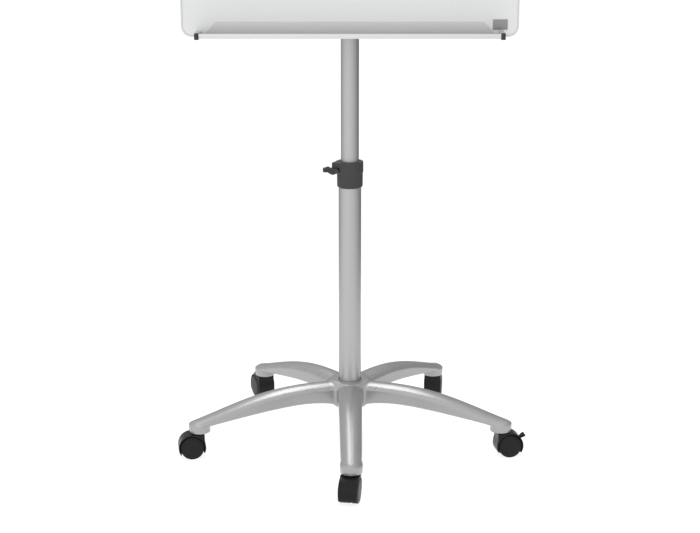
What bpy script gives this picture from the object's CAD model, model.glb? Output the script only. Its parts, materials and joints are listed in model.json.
import bpy
import bmesh
import json
import math
import numpy as np
from mathutils import Matrix, Vector


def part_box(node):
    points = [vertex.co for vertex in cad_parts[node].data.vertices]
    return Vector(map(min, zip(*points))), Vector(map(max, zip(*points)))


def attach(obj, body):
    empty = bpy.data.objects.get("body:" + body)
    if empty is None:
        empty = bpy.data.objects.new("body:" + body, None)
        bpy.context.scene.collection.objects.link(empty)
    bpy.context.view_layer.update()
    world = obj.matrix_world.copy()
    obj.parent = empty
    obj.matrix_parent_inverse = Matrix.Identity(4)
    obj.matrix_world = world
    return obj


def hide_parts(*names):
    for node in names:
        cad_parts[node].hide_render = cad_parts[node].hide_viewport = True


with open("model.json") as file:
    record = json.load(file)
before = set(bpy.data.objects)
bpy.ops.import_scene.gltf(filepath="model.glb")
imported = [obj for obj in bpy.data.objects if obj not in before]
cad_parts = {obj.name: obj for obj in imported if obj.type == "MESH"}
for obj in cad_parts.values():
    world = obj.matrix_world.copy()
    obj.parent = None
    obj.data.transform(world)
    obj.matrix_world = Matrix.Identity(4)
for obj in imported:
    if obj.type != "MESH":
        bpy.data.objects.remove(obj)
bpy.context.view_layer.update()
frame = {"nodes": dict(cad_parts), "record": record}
mm = 0.001
print("stage: frame loaded")


def smoothMin(a, b, k):
    blend = np.maximum(k - np.abs(a - b), 0) / k
    return np.minimum(a, b) - blend * blend * k / 4


def smoothMax(a, b, k):
    return -smoothMin(-a, -b, k)


def rotated(x, y, degrees):
    turn = math.radians(degrees)
    return x * math.cos(turn) + y * math.sin(turn), y * math.cos(turn) - x * math.sin(turn)


def discField(radial, outer, low, high, height, soft=1.0):
    return smoothMax(radial - outer, smoothMax(low - height, height - high, soft), soft)


def boxField(x, y, z, xs, ys, zs, soft=1.0):
    sides = [np.abs(v - (a + b) / 2) - (b - a) / 2 for v, (a, b) in ((x, xs), (y, ys), (z, zs))]
    return smoothMax(smoothMax(sides[0], sides[1], soft), sides[2], soft)


def newObject(name, mesh):
    thing = bpy.data.objects.new(name, mesh)
    bpy.context.scene.collection.objects.link(thing)
    return thing


# A net of quads over the surface where field(x, y, z) is zero: one corner in every cell that the
# surface crosses, drawn on to the surface. Everything is in millimetres until the mesh is made.
def netMesh(name, field, low, high, cell, steps=4):
    axes = [np.arange(a, b + cell, cell) for a, b in zip(low, high)]
    inside = field(*np.meshgrid(*axes, indexing="ij")) < 0
    total = np.zeros([n - 1 for n in inside.shape], np.int8)
    for dx in (0, 1):
        for dy in (0, 1):
            for dz in (0, 1):
                total += inside[dx:, dy:, dz:][:total.shape[0], :total.shape[1], :total.shape[2]]
    crossed = np.argwhere((total > 0) & (total < 8))
    index = np.full(total.shape, -1)
    index[tuple(crossed.T)] = np.arange(len(crossed))
    start = np.array([a[0] for a in axes]) + (crossed + 0.5) * cell
    points, nudge = start.copy(), cell * 0.05
    for step in range(steps):
        x, y, z = points.T
        here = field(x, y, z)
        slope = np.stack([field(x + nudge, y, z) - field(x - nudge, y, z),
                          field(x, y + nudge, z) - field(x, y - nudge, z),
                          field(x, y, z + nudge) - field(x, y, z - nudge)], 1) / (2 * nudge)
        size = np.maximum((slope ** 2).sum(1), 0.05)
        points -= np.clip(here / size, -cell / 2, cell / 2)[:, None] * slope
        points = start + np.clip(points - start, -cell * 0.75, cell * 0.75)
    quads = []
    for axis in range(3):
        order = (axis, (axis + 1) % 3, (axis + 2) % 3)
        solid, cells = inside.transpose(order), index.transpose(order)
        i, j, k = np.nonzero(solid[:-1, 1:-1, 1:-1] != solid[1:, 1:-1, 1:-1])
        ring = np.stack([cells[i, j, k], cells[i, j + 1, k], cells[i, j + 1, k + 1], cells[i, j, k + 1]], 1)
        outward = solid[i, j + 1, k + 1]
        ring[~outward] = ring[~outward][:, ::-1]
        quads.append(ring)
    mesh = bpy.data.meshes.new(name)
    mesh.from_pydata(points * mm, [], np.concatenate(quads))
    mesh.polygons.foreach_set("use_smooth", np.ones(len(mesh.polygons), bool))
    mesh.update()
    return mesh


# A turned piece: (radius, height) points in millimetres, spun about an axis through the origin
def latheMesh(name, outline, segments, axis=(0, 0, 1)):
    shape = bmesh.new()
    corners = [shape.verts.new((r * mm, 0, h * mm)) for r, h in outline]
    edges = [shape.edges.new(pair) for pair in zip(corners, corners[1:])]
    bmesh.ops.spin(shape, geom=corners + edges, cent=(0, 0, 0), axis=(0, 0, 1), dvec=(0, 0, 0),
                   angle=math.tau, steps=segments, use_merge=True)
    bmesh.ops.remove_doubles(shape, verts=shape.verts, dist=1e-6)
    bmesh.ops.recalc_face_normals(shape, faces=shape.faces)
    bmesh.ops.transform(shape, verts=shape.verts, space=Matrix(),
                        matrix=Vector((0, 0, 1)).rotation_difference(Vector(axis)).to_matrix().to_4x4())
    return finishMesh(name, shape)


def finishMesh(name, shape, sharp=40):
    mesh = bpy.data.meshes.new(name)
    shape.to_mesh(mesh)
    shape.free()
    mesh.polygons.foreach_set("use_smooth", np.ones(len(mesh.polygons), bool))
    mesh.set_sharp_from_angle(angle=math.radians(sharp))
    return mesh


# Modifiers are applied by copying the evaluated mesh
def bake(thing, sharp=None):
    depsgraph = bpy.context.evaluated_depsgraph_get()
    mesh = bpy.data.meshes.new_from_object(thing.evaluated_get(depsgraph), depsgraph=depsgraph)
    thing.modifiers.clear()
    old, thing.data = thing.data, mesh
    bpy.data.meshes.remove(old)
    if sharp:
        mesh.polygons.foreach_set("use_smooth", np.ones(len(mesh.polygons), bool))
        mesh.set_sharp_from_angle(angle=math.radians(sharp))
    return thing


rounding = {
    "segments": 2,
    "sharpFrom": 35.0,
    "weld": 2e-6,
    "flatWithin": 1.0,
}


# A copy of a CAD node with its sharp edges rounded
def roundedCopy(name, node, width):
    r = rounding
    shape = bmesh.new()
    shape.from_mesh(frame["nodes"][node].data)
    bmesh.ops.remove_doubles(shape, verts=shape.verts, dist=r["weld"])
    bmesh.ops.dissolve_limit(shape, angle_limit=math.radians(r["flatWithin"]), verts=shape.verts,
                             edges=shape.edges)
    thing = newObject(name, finishMesh(name, shape))
    bevel = thing.modifiers.new("edge", "BEVEL")
    bevel.width, bevel.segments, bevel.limit_method = width * mm, r["segments"], "ANGLE"
    bevel.angle_limit, bevel.harden_normals = math.radians(r["sharpFrom"]), False
    bevel.use_clamp_overlap = True
    return bake(thing, r["sharpFrom"])


def place(thing, angle, where):
    thing.data.transform(Matrix.Translation(where) @ Matrix.Rotation(math.radians(angle), 4, "Z"))


def keep(piece, body, slotName, material, *nodes):
    piece.data.materials.clear()
    piece.data.materials.append(material)
    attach(piece, body)
    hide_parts(*nodes)
    return piece


class Wire:
    def __init__(self, nodes, socket):
        self.nodes, self.socket = nodes, socket

    def maths(self, operation, *values):
        node = self.nodes.new("ShaderNodeMath")
        node.operation = operation
        for socket, value in zip(node.inputs, values):
            if isinstance(value, Wire):
                self.nodes.id_data.links.new(value.socket, socket)
            else:
                socket.default_value = value
        return Wire(self.nodes, node.outputs[0])

    def __add__(self, other): return self.maths("ADD", self, other)
    def __radd__(self, other): return self.maths("ADD", other, self)
    def __sub__(self, other): return self.maths("SUBTRACT", self, other)
    def __rsub__(self, other): return self.maths("SUBTRACT", other, self)
    def __mul__(self, other): return self.maths("MULTIPLY", self, other)
    def __rmul__(self, other): return self.maths("MULTIPLY", other, self)
    def __pow__(self, other): return self.maths("POWER", self, other)


class Graph:
    prefix = "ShaderNode"

    def __init__(self, tree):
        self.tree = tree

    # any node: its type, the settings that are made first, then a value or link for each socket
    def node(self, kind, settings=None, **sockets):
        known = kind.startswith(("ShaderNode", "FunctionNode", "NodeGroup"))
        node = self.tree.nodes.new(kind if known else self.prefix + kind)
        for name, value in (settings or {}).items():
            setattr(node, name, value)
        for name, value in sockets.items():
            name = name.replace("_", " ")
            self.plug(next(s for s in node.inputs if s.name == name and s.enabled), value)
        return node

    def plug(self, socket, value):
        for link in value if isinstance(value, list) else [value]:
            if isinstance(link, bpy.types.Node):
                link = next(socket for socket in link.outputs if socket.enabled)
            link = getattr(link, "socket", link)
            if isinstance(link, bpy.types.NodeSocket):
                self.tree.links.new(link, socket)
            else:
                socket.default_value = link

    def wire(self, source):
        if isinstance(source, bpy.types.Node):
            source = next(socket for socket in source.outputs if socket.enabled)
        return Wire(self.tree.nodes, source)


class Finish(Graph):
    def __init__(self, name, **fixed):
        self.material = bpy.data.materials.new(name)
        self.material.use_nodes = True
        super().__init__(self.material.node_tree)
        self.shader = self.tree.nodes["Principled BSDF"]
        for socket, value in fixed.items():
            self.shader.inputs[socket.replace("_", " ")].default_value = value
        self.place = self.node("TexCoord").outputs["Object"]

    # noise that runs from 0 to 1, its scale in features per metre and stretched along an axis
    def noise(self, scale, stretch=(1, 1, 1), detail=3.0, roughness=0.5):
        mapped = self.node("Mapping", Vector=self.place, Scale=stretch)
        return self.wire(self.node("TexNoise", Vector=mapped, Scale=scale, Detail=detail,
                                   Roughness=roughness))

    def mix(self, share, first, second):
        return self.node("Mix", {"data_type": "RGBA"}, Factor=share, A=first, B=second)

    # 0 where the surface faces the viewer, 1 where it turns away
    def edge(self):
        return self.wire(self.node("LayerWeight", Blend=0.5).outputs["Facing"])

    def bump(self, height, strength, distance):
        node = self.node("Bump", Height=height, Strength=strength, Distance=distance)
        self.set("Normal", node)

    def set(self, name, value):
        self.plug(self.shader.inputs[name], value)


# A Geometry Nodes tree with named inputs, run on a mesh and baked into a plain one
class Recipe(Graph):
    prefix = "GeometryNode"

    def __init__(self, name, **given):
        super().__init__(bpy.data.node_groups.new(name, "GeometryNodeTree"))
        face = self.tree.interface
        face.new_socket("Geometry", in_out="INPUT", socket_type="NodeSocketGeometry")
        for title, value in given.items():
            kind = "NodeSocketInt" if isinstance(value, int) else "NodeSocketFloat"
            face.new_socket(title, in_out="INPUT", socket_type=kind).default_value = value
        face.new_socket("finish", in_out="INPUT", socket_type="NodeSocketMaterial")
        face.new_socket("Geometry", in_out="OUTPUT", socket_type="NodeSocketGeometry")
        self.given = self.node("NodeGroupInput").outputs

    def size(self, title):
        return self.wire(self.given[title])

    def vector(self, x=0.0, y=0.0, z=0.0):
        return self.node("ShaderNodeCombineXYZ", X=x, Y=y, Z=z)

    def close(self, shape):
        whole = self.node("RealizeInstances", Geometry=shape)
        painted = self.node("SetMaterial", Geometry=whole, Material=self.given["finish"])
        self.node("NodeGroupOutput", Geometry=painted)

    def run(self, name, mesh, finish, sharp=40, **values):
        thing = newObject(name, mesh)
        modifier = thing.modifiers.new("recipe", "NODES")
        modifier.node_group = self.tree
        for item in self.tree.interface.items_tree:
            if item.in_out == "INPUT" and item.name in values:
                modifier[item.identifier] = values[item.name]
            elif item.name == "finish":
                modifier[item.identifier] = finish
        return bake(thing, sharp)


def pointMesh(name, points, loop=False):
    mesh = bpy.data.meshes.new(name)
    count = len(points)
    mesh.from_pydata(points, [(i, (i + 1) % count) for i in range(count)] if loop else [], [])
    return mesh


def grey(value, tint=(1, 1, 1)):
    return tuple(value * part for part in tint) + (1,)


def castSilver():
    paint = Finish("castSilver", Metallic=0.55, Coat_Weight=0.25, Coat_Roughness=0.22)
    patches, grain = paint.noise(14, detail=2), paint.noise(1400, detail=2)
    paint.set("Base Color", paint.mix(patches, grey(0.345), grey(0.385)))
    paint.set("Roughness", 0.27 + 0.07 * patches + 0.05 * grain)
    paint.bump(grain + 2 * paint.noise(160, detail=1), 0.05, 0.0003)
    return paint.material


def tubeSilver():
    paint = Finish("tubeSilver", Metallic=0.7, Coat_Weight=0.1, Coat_Roughness=0.3)
    streaks, away = paint.noise(900, stretch=(1, 1, 0.01), detail=3), paint.edge()
    grain = paint.noise(2200, detail=2)
    shade = paint.mix(streaks, grey(0.42), grey(0.465))
    paint.set("Base Color", paint.mix(away ** 2.5 * 0.9, shade, grey(0.12)))
    paint.set("Roughness", 0.3 + 0.1 * streaks)
    paint.bump(streaks + 0.5 * grain, 0.08, 0.0002)
    return paint.material


def mouldedBlack(name, shade, rough, grainSize=900, gloss=0.4):
    nylon = Finish(name, Specular_IOR_Level=gloss)
    grain, patches = nylon.noise(grainSize, detail=2), nylon.noise(45, detail=2)
    nylon.set("Base Color", nylon.mix(patches, grey(shade), grey(shade * 1.25)))
    nylon.set("Roughness", rough + 0.1 * grain + 0.06 * patches)
    nylon.bump(grain, 0.25, 0.0003)
    return nylon.material


# The end plugs are black in front of the rim, and silver where they cover the ends of the trough
def plugPlastic():
    plastic = Finish("plugPlastic", Specular_IOR_Level=0.3)
    grain = plastic.noise(900, detail=2)
    depth = plastic.node("SeparateXYZ", Vector=plastic.place).outputs["Y"]
    silver = plastic.node("MapRange", Value=depth, From_Min=-0.1045, From_Max=-0.104)
    plastic.set("Base Color", plastic.mix(silver, grey(0.035), grey(0.5)))
    plastic.set("Roughness", 0.4 + 0.1 * grain)
    plastic.bump(grain, 0.2, 0.0002)
    return plastic.material


def whiteEnamel():
    enamel = Finish("whiteEnamel", Coat_Weight=0.6, Coat_Roughness=0.08)
    smears = enamel.noise(5, stretch=(1, 1, 2.2), detail=5, roughness=0.6)
    peel = enamel.noise(420, detail=1)
    enamel.set("Base Color", enamel.mix(smears, grey(0.725, (0.987, 1, 0.997)), grey(0.74, (0.99, 1, 1))))
    enamel.set("Roughness", 0.22 + 0.05 * smears)
    enamel.bump(peel, 0.04, 0.0003)
    return enamel.material


def trimGrey():
    trim = Finish("trimGrey")
    grain = trim.noise(1200, detail=2)
    trim.set("Base Color", trim.mix(grain, grey(0.60), grey(0.65)))
    trim.set("Roughness", 0.42 + 0.1 * grain)
    trim.bump(grain, 0.1, 0.0002)
    return trim.material


def satinAluminium(name, shade, stretch=(0.01, 1, 1)):
    metal = Finish(name, Metallic=0.6)
    lines = metal.noise(1500, stretch=stretch, detail=3)
    metal.set("Base Color", metal.mix(lines, grey(shade * 0.95), grey(shade * 1.05)))
    metal.set("Roughness", 0.36 + 0.12 * lines)
    metal.bump(lines, 0.12, 0.0002)
    return metal.material


# The rim is rubbed bright by hands, and marker dust dulls the trough and the plate behind it
def traySatin():
    metal = Finish("traySatin", Metallic=0.2)
    lines, dust = metal.noise(1500, stretch=(0.01, 1, 1)), metal.noise(120)
    parts = metal.node("SeparateXYZ", Vector=metal.place).outputs
    rubbed = metal.node("MapRange", Value=parts["Y"], From_Min=-0.085, From_Max=-0.105)
    low = metal.wire(metal.node("MapRange", Value=parts["Z"], From_Min=0.927, From_Max=0.903))
    dull = metal.mix(low * (0.85 + 0.15 * dust), grey(0.56), grey(0.43))
    metal.set("Base Color", metal.mix(rubbed, dull, grey(0.68)))
    metal.set("Roughness", 0.36 + 0.12 * lines)
    metal.bump(lines, 0.1, 0.0002)
    return metal.material


def galvanised():
    zinc = Finish("galvanised", Metallic=0.8)
    cells = zinc.node("TexVoronoi", Vector=zinc.place, Scale=70.0).outputs["Color"]
    spangle = zinc.wire(zinc.node("SeparateColor", Color=cells))
    zinc.set("Base Color", zinc.mix(spangle, grey(0.5, (0.98, 1, 1.02)), grey(0.58, (0.98, 1, 1.02))))
    zinc.set("Roughness", 0.42 + 0.16 * spangle)
    zinc.bump(zinc.noise(500), 0.06, 0.0003)
    return zinc.material


def zincSteel():
    steel = Finish("zincSteel", Metallic=1.0)
    grain = steel.noise(1800, detail=2)
    steel.set("Base Color", steel.mix(grain, grey(0.5), grey(0.6)))
    steel.set("Roughness", 0.28 + 0.14 * grain)
    steel.bump(grain, 0.1, 0.0002)
    return steel.material


def honeycombBoard():
    board = Finish("honeycombBoard", Roughness=0.85)
    fibre = board.noise(600, detail=3)
    board.set("Base Color", board.mix(fibre, (0.42, 0.31, 0.2, 1), (0.55, 0.43, 0.29, 1)))
    board.bump(fibre, 0.3, 0.0004)
    return board.material


finishes = {
    "cast_base": castSilver(),
    "silver_tube": tubeSilver(),
    "bracket_steel": satinAluminium("bracketPaint", 0.5, (1, 1, 1)),
    "zinc_steel": zincSteel(),
    "spring_steel": satinAluminium("springSteel", 0.35),
    "black_nylon": mouldedBlack("blackNylon", 0.043, 0.42, gloss=0.25),
    "castor_wheel": mouldedBlack("wheelBlack", 0.008, 0.3, 500, 0.2),
    "white_enamel": whiteEnamel(),
    "board_filler": honeycombBoard(),
    "galvanised_sheet": galvanised(),
    "trim_plastic": trimGrey(),
    "tray_aluminium": traySatin(),
    "badge_grey": satinAluminium("badgeSatin", 0.27),
    "pin_plastic": mouldedBlack("pinBlack", 0.035, 0.3),
}
castorBlack = mouldedBlack("castorBlack", 0.007, 0.24, 700, 0.2)
oxideBlack = mouldedBlack("oxideBlack", 0.04, 0.4)
capPlug = plugPlastic()
print("stage: finishes made")


starLow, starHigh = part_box("base_star")

castings = {
    "turn": 0.5,
    "reach": 340.0,
    "legWall": 3.5,
    "crown": 14.0,
    "rootHalf": 26.5,
    "tipHalf": 21.9,
    "noseSoft": 7.0,
    "hubHalf": 39.0,
    "hubFillet": 13.0,
    "bossHalf": 22.5,
    "bossBottom": 57.0,
    "bossTop": 74.0,
    "bossFillet": 7.0,
    "pocketR": 24.05,
    "pocketFloor": 106.0,
    "recessR": 12.4,
    "recessTop": 96.0,
    "hubBottom": 88.0,
    "dishDepth": 135.0,
    "boreR": 7.6,
    "boreTop": 79.0,
    "top": 146.0,
    "margin": 4.0,
    "cell": 2.2,
}
# share of the way from the hub to the castor, height of the ridge, height of the skirt
legLine = [(0.0, 137.0, 91.0), (0.10, 137.5, 97.5), (0.30, 134.8, 98.4), (0.53, 125.7, 92.1),
           (0.78, 105.3, 80.5), (1.0, 84.6, 69.0)]
shares = [row[0] for row in legLine]
ridgeLine = np.polynomial.Polynomial.fit(shares, [row[1] for row in legLine], 4)
skirtLine = np.polynomial.Polynomial.fit(shares, [row[2] for row in legLine], 4)


def legSection(x, y, z, grow):
    c = castings
    share = np.clip((x - c["hubHalf"]) / (c["reach"] - c["hubHalf"]), 0, 1.07)
    half = c["rootHalf"] + share * (c["tipHalf"] - c["rootHalf"]) + grow
    crown = c["crown"] + grow
    aside = np.abs(y) + 1e-6
    rise = np.maximum(z - (ridgeLine(share) - c["crown"]), 0)
    reachOut = np.sqrt((aside / half) ** 2 + (rise / crown) ** 2)
    slope = np.sqrt((aside / half ** 2) ** 2 + (rise / crown ** 2) ** 2)
    tunnel = (reachOut - 1) * reachOut / slope
    nose = np.hypot(np.maximum(x - c["reach"], 0), y) - half
    soft = 0.8 + c["noseSoft"] * np.clip((x - c["reach"]) / 25 + 1, 0, 1)
    return smoothMax(tunnel, nose, soft), skirtLine(share)


def starField(x, y, z):
    c = castings
    radius = np.hypot(x, y)
    sector = math.tau / 5
    start = math.radians(90 - c["turn"]) + sector / 2
    turn = np.abs((np.arctan2(y, x) + start) % sector - sector / 2)
    solid = None
    for angle in (turn, sector - turn):
        lx, ly = radius * np.cos(angle), radius * np.sin(angle)
        outer, skirt = legSection(lx, ly, z, 0)
        leg = smoothMax(outer, skirt - z, 3.0)
        inner, skirt = legSection(lx, ly, z, -c["legWall"])
        cavity = smoothMax(inner, smoothMax(c["hubHalf"] + 3 - lx, lx - (c["reach"] - 26), 4.0), 4.0)
        tip = np.hypot(lx - c["reach"], ly)
        boss = discField(tip, c["bossHalf"], c["bossBottom"], c["bossTop"], z, 1.5)
        leg = smoothMin(leg, boss, c["bossFillet"])
        leg = smoothMax(leg, -cavity, 1.6)
        bore = np.where(z < c["boreTop"], c["boreR"] - tip, -c["reach"])
        leg = smoothMax(leg, bore, 0.6)
        solid = leg if solid is None else smoothMin(solid, leg, c["hubFillet"])
    dish = c["dishDepth"] + 2.0 * np.clip((radius - 24) / 14, 0, 1)
    hub = smoothMax(smoothMax(radius - c["hubHalf"], z - dish, 3.0), c["hubBottom"] - z, 1.5)
    solid = smoothMin(solid, hub, c["hubFillet"])
    pocket = smoothMax(radius - c["pocketR"], c["pocketFloor"] - z, 0.4)
    recess = smoothMax(radius - c["recessR"], z - c["recessTop"], 0.6)
    return np.maximum(np.maximum(solid, -pocket), -recess)


def makeStar():
    margin = castings["margin"]
    low = [v / mm - margin for v in starLow]
    high = [v / mm + margin for v in starHigh]
    low[2], high[2] = castings["bossBottom"] - margin, castings["top"]
    star = newObject("castStar", netMesh("castStar", starField, low, high, castings["cell"]))
    keep(star, "base", "cast_base", finishes["cast_base"], "base_star")
    print("stage: base casting,", len(star.data.polygons), "faces")


makeStar()


castors = {
    "front": (-90, -101, False),
    "right": (-18, 10, True),
    "back_right": (54, 82, False),
    "back_left": (126, 115, True),
    "left": (198, 189, False),
}
hood = {
    "trail": 18.0,
    "axleHeight": 25.0,
    "inner": 26.4,
    "outer": 29.3,
    "half": 19.0,
    "web": 6.0,
    "neckFront": 9.0,
    "top": 55.0,
    "from": -32.0,
    "to": 205.0,
    "notch": (10.0, 50.0),
    "axle": 3.0,
    "stem": 4.1,
    "stemFrom": 30.0,
    "cell": 0.8,
}


def hoodField(braked):
    h = hood

    def field(x, y, z):
        dx, dz = x - h["trail"], z - h["axleHeight"]
        radial = np.hypot(dx, dz)
        angle = np.degrees(np.arctan2(dz, dx))
        angle = np.where(angle < -90, angle + 360, angle)
        side = np.abs(y)
        middle = (h["from"] + h["to"]) / 2
        spread = (h["to"] - h["from"]) / 2
        ends = (np.abs(angle - middle) - spread) * math.pi / 180 * radial
        shell = smoothMax(smoothMax(radial - h["outer"], h["inner"] - radial, 0.8),
                          smoothMax(side - h["half"], ends, 1.2), 1.2)
        web = smoothMax(smoothMax(radial - h["inner"] - 0.8, side - h["web"], 1.0), 6 - z, 1.5)
        neck = boxField(x, y, z, (-h["neckFront"], h["trail"]), (-h["half"], h["half"]),
                        (20, h["top"]), 2.2)
        well = smoothMax(radial - h["inner"], h["web"] - side, 0.6)
        solid = smoothMax(smoothMin(shell, neck, 4.0), -well, 0.8)
        solid = smoothMin(solid, web, 2.0)
        solid = smoothMax(solid, z - h["top"], 0.8)
        stem = smoothMax(np.hypot(x, y) - h["stem"], h["stemFrom"] - z, 0.4)
        solid = smoothMax(solid, -stem, 0.5)
        solid = np.maximum(solid, h["axle"] - radial)
        if braked:
            low, high = h["notch"]
            notch = (np.abs(angle - (low + high) / 2) - (high - low) / 2) * math.pi / 180 * radial
            slot = np.maximum(np.maximum(notch, side - 4.0), 12 - radial)
            solid = smoothMax(solid, -slot, 0.8)
        return solid
    return field


# distances across the castor of the wheel's inner face, its tread's edge and its crown
wheel = {
    "inner": 6.6,
    "flat": 18.1,
    "outer": 21.0,
    "segments": 72,
}


def makeWheel(side):
    inner, flat, outer = wheel["inner"], wheel["flat"], wheel["outer"]
    outline = [(0.0, flat - 1), (3.08, flat - 1), (3.08, inner), (6.5, inner), (6.5, flat - 3),
               (21.5, flat - 3), (21.5, inner), (23.9, inner), (24.6, inner + 0.35), (25.0, inner + 1.1),
               (25.0, 12.0), (25.0, flat - 0.4), (24.85, flat + 0.5), (24.4, flat + 1.2),
               (23.6, flat + 1.8), (22.7, flat + 2.1), (22.2, flat + 2.1), (21.9, flat + 1.75),
               (21.6, flat + 1.7), (21.3, flat + 2.0), (20.9, flat + 2.3), (17.0, flat + 2.65),
               (10.0, flat + 2.85), (0.0, outer)]
    mesh = latheMesh("wheel", outline, wheel["segments"], (0, 1, 0))
    if side < 0:
        mesh.transform(Matrix.Scale(-1, 4, (0, 1, 0)))
        mesh.flip_normals()
    mesh.transform(Matrix.Translation((hood["trail"] * mm, 0, hood["axleHeight"] * mm)))
    return mesh


brake = {
    "angle": 30.0,
    "pivot": 17.0,
    "thick": 6.0,
    "tab": (33.3, 41.3),
    "tabHalf": 7.0,
    "cell": 0.5,
}


def brakeField(x, y, z):
    b = brake
    out, up = rotated(x - hood["trail"], z - hood["axleHeight"], b["angle"])
    half = b["thick"] / 2
    side = np.abs(y)
    blade = smoothMax(smoothMax(np.abs(up) - half, side - 3.65, 0.6),
                      smoothMax(b["pivot"] - half - out, out - b["tab"][0] - 1, 0.6), 0.6)
    low, high = b["tab"]
    wave = 0.35 * np.cos(out * math.tau / 1.7)
    tab = smoothMax(smoothMax(np.abs(up) - half - np.where(up > 0, wave, 0), side - b["tabHalf"], 1.6),
                    smoothMax(low - out, out - high, 1.4), 1.0)
    pin = smoothMax(np.hypot(out - b["pivot"], up) - 1.5, side - 5.7, 0.4)
    return np.minimum(smoothMin(blade, tab, 1.5), pin)


def makeCastors():
    meshes = {}
    for braked in (False, True):
        h = hood
        meshes[braked] = netMesh("hood", hoodField(braked), (-15, -22, 3), (51, 22, 58), h["cell"])
    lever = netMesh("brake", brakeField, (27, -9, 27), (59, 9, 53), brake["cell"])
    wheels = {"left": makeWheel(1), "right": makeWheel(-1)}
    for name, (legAngle, trail, braked) in castors.items():
        turn = math.radians(legAngle + castings["turn"])
        stem = Vector((math.cos(turn), math.sin(turn), 0)) * castings["reach"] * mm
        shell = newObject(name + "Hood", meshes[braked].copy())
        place(shell, trail, stem)
        keep(shell, name + "_castor", "black_nylon", castorBlack, name + "_castor_hood")
        for side, mesh in wheels.items():
            wheel = newObject(name + side.title() + "Wheel", mesh.copy())
            place(wheel, trail, stem)
            node = name + "_castor_wheel_" + side
            keep(wheel, node, "castor_wheel", finishes["castor_wheel"], node)
        if braked:
            tab = newObject(name + "Brake", lever.copy())
            place(tab, trail, stem)
            keep(tab, name + "_castor_brake", "black_nylon", castorBlack, name + "_castor_brake")
    print("stage: castors made")


makeCastors()


collar = {
    "outer": 27.3,
    "low": 570.0,
    "step": 603.0,
    "high": 626.0,
    "lugAngle": 198.0,
    "lugReach": 35.0,
    "lugRound": 5.0,
    "screwHeight": 608.7,
    "slot": 1.2,
    "cell": 0.9,
}


def lugFrame(x, y):
    return rotated(x, y, collar["lugAngle"])


def collarField(x, y, z):
    c = collar
    radial = np.hypot(x, y)
    out, side = lugFrame(x, y)
    # a round cone from the collar's circle to the lug's nose, seen from above
    slant = (c["outer"] - c["lugRound"]) / c["lugReach"]
    along = np.clip((out - np.abs(side) * slant / math.sqrt(1 - slant ** 2)) / c["lugReach"], 0, 1)
    plan = np.hypot(out - along * c["lugReach"], side) - (c["outer"] + along * (c["lugRound"] - c["outer"]))
    lug = smoothMax(plan, smoothMax(c["step"] + 1 - z, z - c["high"], 2.6), 2.6)
    body = smoothMax(radial - c["outer"] - 0.6 * np.clip((z - c["low"]) / 56, 0, 1),
                     z - c["high"], 1.2)
    body = smoothMax(body, c["low"] - z, 6.0)
    solid = smoothMin(body, lug, 4.0)
    screw = np.hypot(out - c["lugReach"], z - c["screwHeight"])
    seat = np.maximum(np.maximum(6.5 - np.abs(side), c["outer"] + 0.6 - out), z - c["screwHeight"] - 6.1)
    solid = smoothMax(solid, -seat, 0.8)
    ears = smoothMax(screw - 5.5, np.abs(side) - 6.5, 0.6)
    solid = smoothMin(solid, ears, 1.0)
    solid = np.maximum(solid, np.where(np.abs(side) < 20, 3.0 - screw, -c["lugReach"]))
    slot = np.maximum(np.abs(side) - c["slot"], np.maximum(16 - out, c["step"] - z))
    solid = smoothMax(solid, -slot, 0.5)
    bore = np.where(z < c["step"], 24.02 - radial, 19.25 - radial)
    return np.maximum(solid, bore)


leverLine = [(0.0, 0.0, 5.5), (7.0, -1.2, 5.2), (12.0, 1.6, 5.4), (17.0, 5.2, 5.2), (23.0, 4.6, 4.6)]


def leverField(x, y, z):
    c = collar
    out, side = lugFrame(x, y)
    out, up = out - c["lugReach"], z - c["screwHeight"]
    arm = None
    for (x0, z0, r0), (x1, z1, r1) in zip(leverLine, leverLine[1:]):
        dx, dz = x1 - x0, z1 - z0
        t = np.clip(((out - x0) * dx + (up - z0) * dz) / (dx * dx + dz * dz), 0, 1)
        part = np.hypot(out - x0 - t * dx, up - z0 - t * dz) - (r0 + t * (r1 - r0))
        arm = part if arm is None else smoothMin(arm, part, 3.0)
    squareEnd = boxField(out, up, side, (18.5, 27.6), (-0.6, 9.0), (-99, 99), 1.0)
    arm = smoothMin(arm, squareEnd, 1.5)
    thick = smoothMax(6.8 - side, side - 13.8, 1.0)
    rib = boxField(out, up, side, (9, 26), (0.8, 6.6), (12.6, 99), 0.8)
    solid = smoothMax(arm, thick, 1.6)
    solid = smoothMax(solid, -np.maximum(rib, np.abs(up - 4) - 2.0), 0.8)
    return np.maximum(solid, 3.08 - np.hypot(out, up))


def makeCollar():
    c = collar
    ring = newObject("clampCollar", netMesh("clampCollar", collarField, (-46, -32, c["low"] - 3),
                                            (31, 32, c["high"] + 3), c["cell"]))
    keep(ring, "base", "black_nylon", finishes["black_nylon"], "clamp_collar")
    arm = newObject("clampLever", netMesh("clampLever", leverField, (-72, -38, 600), (-20, 4, 628), 0.6))
    keep(arm, "clamp_lever", "black_nylon", finishes["black_nylon"], "clamp_lever")
    print("stage: collar and lever made")


makeCollar()


bodyOf = {node: body for body, nodes in frame["record"]["behaviour"]["bodies"].items() for node in nodes}
slotOf = {entry["node"]: entry["material_slot"] for entry in frame["record"]["subparts"]}


def stand(piece, node, finish=None):
    return keep(piece, bodyOf[node], slotOf[node], finish or finishes[slotOf[node]], node)


trim = {
    "width": 690.0,
    "height": 1000.0,
    "corner": 22.0,
    "bottom": 896.5,
}
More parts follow.
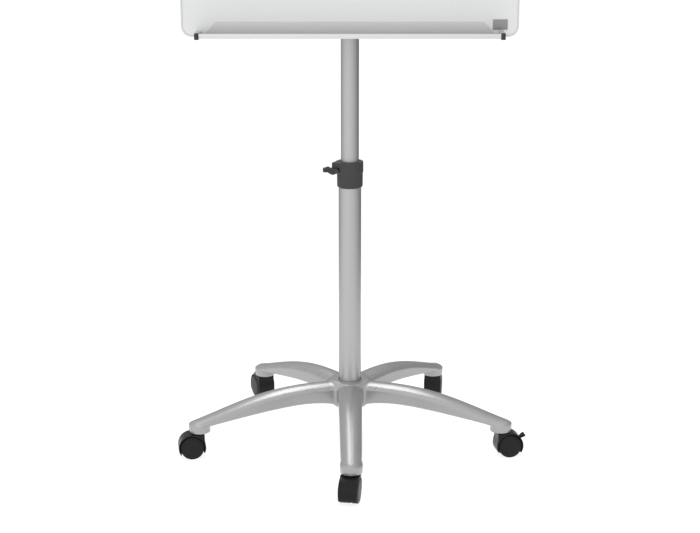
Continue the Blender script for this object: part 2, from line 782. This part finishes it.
# the trim's section: distance inwards from its outer face, distance in front of the mast's axis
trimSection = [(0.9, 61.0), (3.0, 61.0), (3.4, 60.8), (3.5, 60.4), (3.5, 60.05), (2.0, 60.05),
               (2.0, 42.95), (3.5, 42.95), (3.5, 42.5), (3.3, 42.1), (3.0, 42.0), (0.9, 42.0),
               (0.25, 42.25), (0.0, 42.9), (0.0, 60.1), (0.25, 60.75)]


def makeTrim():
    t = trim
    tree = Recipe("sweptTrim", width=0.69, height=1.0, corner=0.022, middle=1.4)
    path = tree.node("CurvePrimitiveQuadrilateral", Width=tree.size("width"), Height=tree.size("height"))
    soft = tree.node("FilletCurve", {"mode": "POLY"}, Curve=path, Radius=tree.size("corner"), Count=14)
    section = tree.node("MeshToCurve", Mesh=tree.given["Geometry"])
    swept = tree.node("CurveToMesh", Curve=soft, Profile_Curve=section)
    upright = tree.node("Transform", Geometry=swept, Rotation=(math.pi / 2, 0, 0),
                        Translation=tree.vector(z=tree.size("middle")))
    tree.close(upright)
    points = [(-inwards * mm, -depth * mm, 0) for inwards, depth in trimSection]
    piece = tree.run("edgeTrim", pointMesh("trimSection", points, True), finishes["trim_plastic"],
                     width=t["width"] * mm, height=t["height"] * mm, corner=t["corner"] * mm,
                     middle=(t["bottom"] + t["height"] / 2) * mm)
    shape = bmesh.new()
    shape.from_mesh(piece.data)
    bmesh.ops.recalc_face_normals(shape, faces=shape.faces)
    piece.data = finishMesh("edgeTrim", shape)
    stand(piece, "edge_trim")


# name: seats in millimetres, which way the heads face (1 back, -1 front), shank and head
screws = {
    "strap_screws": ([(x, 4.0, z) for x in (-30, 30) for z in (1050, 1500)], 1, 2.5, 4.0, 2.5, 16),
    "board_screws": ([(x, -40.5, z + dz) for x in (-48, 48) for z in (1050, 1500) for dz in (-20, 20)],
                     1, 2.0, 4.0, 2.5, 14.5),
    "tray_screws": ([(x, -43.0, 915) for x in (-250, -90, 90, 250)], 1, 2.0, 4.0, 2.5, 19),
    "rail_screws": ([(x, -64.0, 1868) for x in (-240, -80, 80, 240)], -1, 2.0, 4.0, 2.5, 16),
}


def makeScrews():
    tree = Recipe("panHeadScrews", lean=0.0, shank=0.002, head=0.004, height=0.0025, length=0.01, seed=7)
    head, height, shank, length = (tree.size(n) for n in ("head", "height", "shank", "length"))
    ball = tree.node("MeshUVSphere", Segments=32, Rings=18, Radius=1.0)
    dome = tree.node("Transform", Geometry=ball, Scale=tree.vector(head, head, height * 1.25))
    slab = tree.node("MeshCube", Size=tree.vector(head * 3, head * 3, height))
    slab = tree.node("Transform", Geometry=slab, Translation=tree.vector(z=height * 0.5))
    pan = tree.node("MeshBoolean", {"operation": "INTERSECT", "solver": "EXACT"}, Mesh=[dome, slab])
    bars = []
    for turn in (0, math.pi / 2):
        bar = tree.node("MeshCube", Size=tree.vector(head * 1.05, head * 0.2, height))
        bars.append(tree.node("Transform", Geometry=bar, Rotation=(0, 0, turn),
                              Translation=tree.vector(z=height * 0.95)))
    cross = tree.node("MeshBoolean", {"operation": "UNION", "solver": "EXACT"}, Mesh=bars)
    recessed = tree.node("MeshBoolean", {"operation": "DIFFERENCE", "solver": "EXACT"},
                         Mesh_1=pan, Mesh_2=cross)
    rod = tree.node("MeshCylinder", Vertices=20, Radius=shank, Depth=length)
    rod = tree.node("Transform", Geometry=rod, Translation=tree.vector(z=length * -0.5))
    screw = tree.node("JoinGeometry", Geometry=[recessed, rod])
    spin = tree.node("FunctionNodeRandomValue", {"data_type": "FLOAT"}, Min=0.0, Max=math.pi,
                     Seed=tree.given["seed"])
    turned = tree.vector(tree.size("lean"), spin, 0.0)
    points = tree.node("MeshToPoints", Mesh=tree.given["Geometry"])
    many = tree.node("InstanceOnPoints", Points=points, Instance=screw, Rotation=turned)
    tree.close(many)
    for node, (seats, facing, shankR, headR, headH, depth) in screws.items():
        spots = [tuple(v * mm for v in seat) for seat in seats]
        piece = tree.run(node.replace("_s", "S"), pointMesh(node, spots), finishes["zinc_steel"], 30,
                         lean=-facing * math.pi / 2, shank=shankR * mm, head=headR * mm,
                         height=headH * mm, length=depth * mm)
        stand(piece, node)


spring = {
    "places": [(-150.0, -70.6, 1880.0), (150.0, -70.6, 1880.0)],
    "coil": 2.97,
    "wire": 0.4,
    "length": 23.0,
    "turns": 22.0,
    "leg": 12.0,
}


def makeSprings():
    tree = Recipe("torsionSprings", coil=0.003, wire=0.0004, length=0.023, turns=22.0, leg=0.012)
    coil, wire, length, turns, leg = (tree.size(n) for n in ("coil", "wire", "length", "turns", "leg"))
    helix = tree.node("CurveSpiral", Resolution=18, Rotations=turns, Start_Radius=coil, End_Radius=coil,
                      Height=length)
    lying = tree.node("Transform", Geometry=helix, Rotation=(0, math.pi / 2, 0),
                      Translation=tree.vector(length * -0.5))
    end = tree.node("CurvePrimitiveLine", Start=tree.vector(y=coil), End=tree.vector(y=coil, z=leg * -1))
    both = tree.node("JoinGeometry", Geometry=[lying, end])
    ring = tree.node("CurvePrimitiveCircle", Resolution=8, Radius=wire)
    swept = tree.node("CurveToMesh", Curve=both, Profile_Curve=ring, Fill_Caps=True)
    points = tree.node("MeshToPoints", Mesh=tree.given["Geometry"])
    tree.close(tree.node("InstanceOnPoints", Points=points, Instance=swept))
    s = spring
    spots = [tuple(v * mm for v in place) for place in s["places"]]
    stand(tree.run("clampSprings", pointMesh("springSpots", spots), finishes["spring_steel"],
                   coil=s["coil"] * mm, wire=s["wire"] * mm, length=s["length"] * mm, turns=s["turns"],
                   leg=s["leg"] * mm), "clamp_springs")


# CAD nodes shown with their edges rounded, and by how much
softened = {
    "lower_bracket": 0.8,
    "upper_bracket": 0.8,
    "lower_strap": 0.6,
    "upper_strap": 0.6,
    "pen_tray": 0.4,
    "tray_cap_left": 0.6,
    "tray_cap_right": 0.6,
    "badge_plate": 0.3,
    "clamp_rail": 0.4,
    "rail_ends": 0.6,
    "clamp_bar": 0.5,
    "clamp_nut": 0.4,
    "hub_bolt": 0.4,
    "clamp_screw": 0.3,
    "mast_cap": 0.6,
}
ownFinish = {
    "tray_cap_left": capPlug,
    "tray_cap_right": capPlug,
    "clamp_screw": oxideBlack,
}


def soften():
    for node, width in softened.items():
        words = node.split("_")
        name = words[0] + "".join(word.title() for word in words[1:])
        stand(roundedCopy(name, node, width), node, ownFinish.get(node))


makeTrim()
makeScrews()
makeSprings()
soften()
print("stage: board pieces made")


for entry in frame["record"]["subparts"]:
    node = frame["nodes"][entry["node"]]
    node.data.materials.clear()
    node.data.materials.append(finishes[entry["material_slot"]])
print("stage: finishes on the carried nodes")


studio = {
    "floor": 0.25,
    "floorGlow": 0.85,
    "cameraAt": (0.0002, -3.3118, 1.271),
    "cameraTilt": 14.82,
    "lens": 81.46,
    "room": 0.72,
    "fromFront": 0.46,
    "fromLeft": 0.24,
    "fromAbove": 0.25,
    "backdrop": 1.05,
    "overhead": 45,
    "floorReach": 1.2,
}


def addLight(name, where, target, size, power):
    light = bpy.data.lights.new(name, "AREA")
    light.shape, light.size, light.size_y, light.energy = "RECTANGLE", size[0], size[1], power
    lamp = newObject(name, light)
    lamp.location = where
    lamp.rotation_euler = (Vector(target) - Vector(where)).to_track_quat("-Z", "Y").to_euler()
    return lamp


def makeStudio():
    s = studio
    plane = bmesh.new()
    bmesh.ops.create_grid(plane, x_segments=1, y_segments=1, size=s["floorReach"])
    floor = newObject("floor", finishMesh("floor", plane))
    paper = Finish("floorPaper", Roughness=0.9, Emission_Strength=s["floorGlow"])
    paper.set("Base Color", paper.mix(paper.noise(3), grey(s["floor"]), grey(s["floor"] + 0.01)))
    paper.set("Emission Color", grey(1))
    floor.data.materials.append(paper.material)
    world = bpy.data.worlds.new("studio")
    bpy.context.scene.world = world
    world.use_nodes = True
    room = Graph(world.node_tree)
    soft = world.node_tree.nodes["Background"]
    soft.inputs["Color"].default_value = grey(1)
    parts = room.node("SeparateXYZ", Vector=room.node("TexCoord").outputs["Generated"]).outputs
    x, y, z = (room.wire(socket) for socket in parts)
    glow = s["room"] - s["fromFront"] * y - s["fromLeft"] * x + s["fromAbove"] * z
    room.plug(soft.inputs["Strength"], glow)
    plain = room.node("Background", Strength=s["backdrop"], Color=grey(1))
    choose = room.node("MixShader")
    seen = room.node("LightPath").outputs["Is Camera Ray"]
    for socket, source in zip(choose.inputs, (seen, soft, plain)):
        room.plug(socket, source)
    room.plug(world.node_tree.nodes["World Output"].inputs["Surface"], choose)
    addLight("overhead", (-0.2, 1.7, 3.0), (-0.2, 1.7, 0), (1.15, 3.4), s["overhead"])
    camera = bpy.data.cameras.new("camera")
    camera.lens, camera.sensor_width = s["lens"], 36
    camera.clip_end = 100
    eye = newObject("camera", camera)
    eye.location = s["cameraAt"]
    eye.rotation_euler = (math.radians(90 - s["cameraTilt"]), 0, 0)
    bpy.context.scene.camera = eye
    bpy.context.scene.view_settings.view_transform = "Standard"


makeStudio()
print("stage: studio ready")
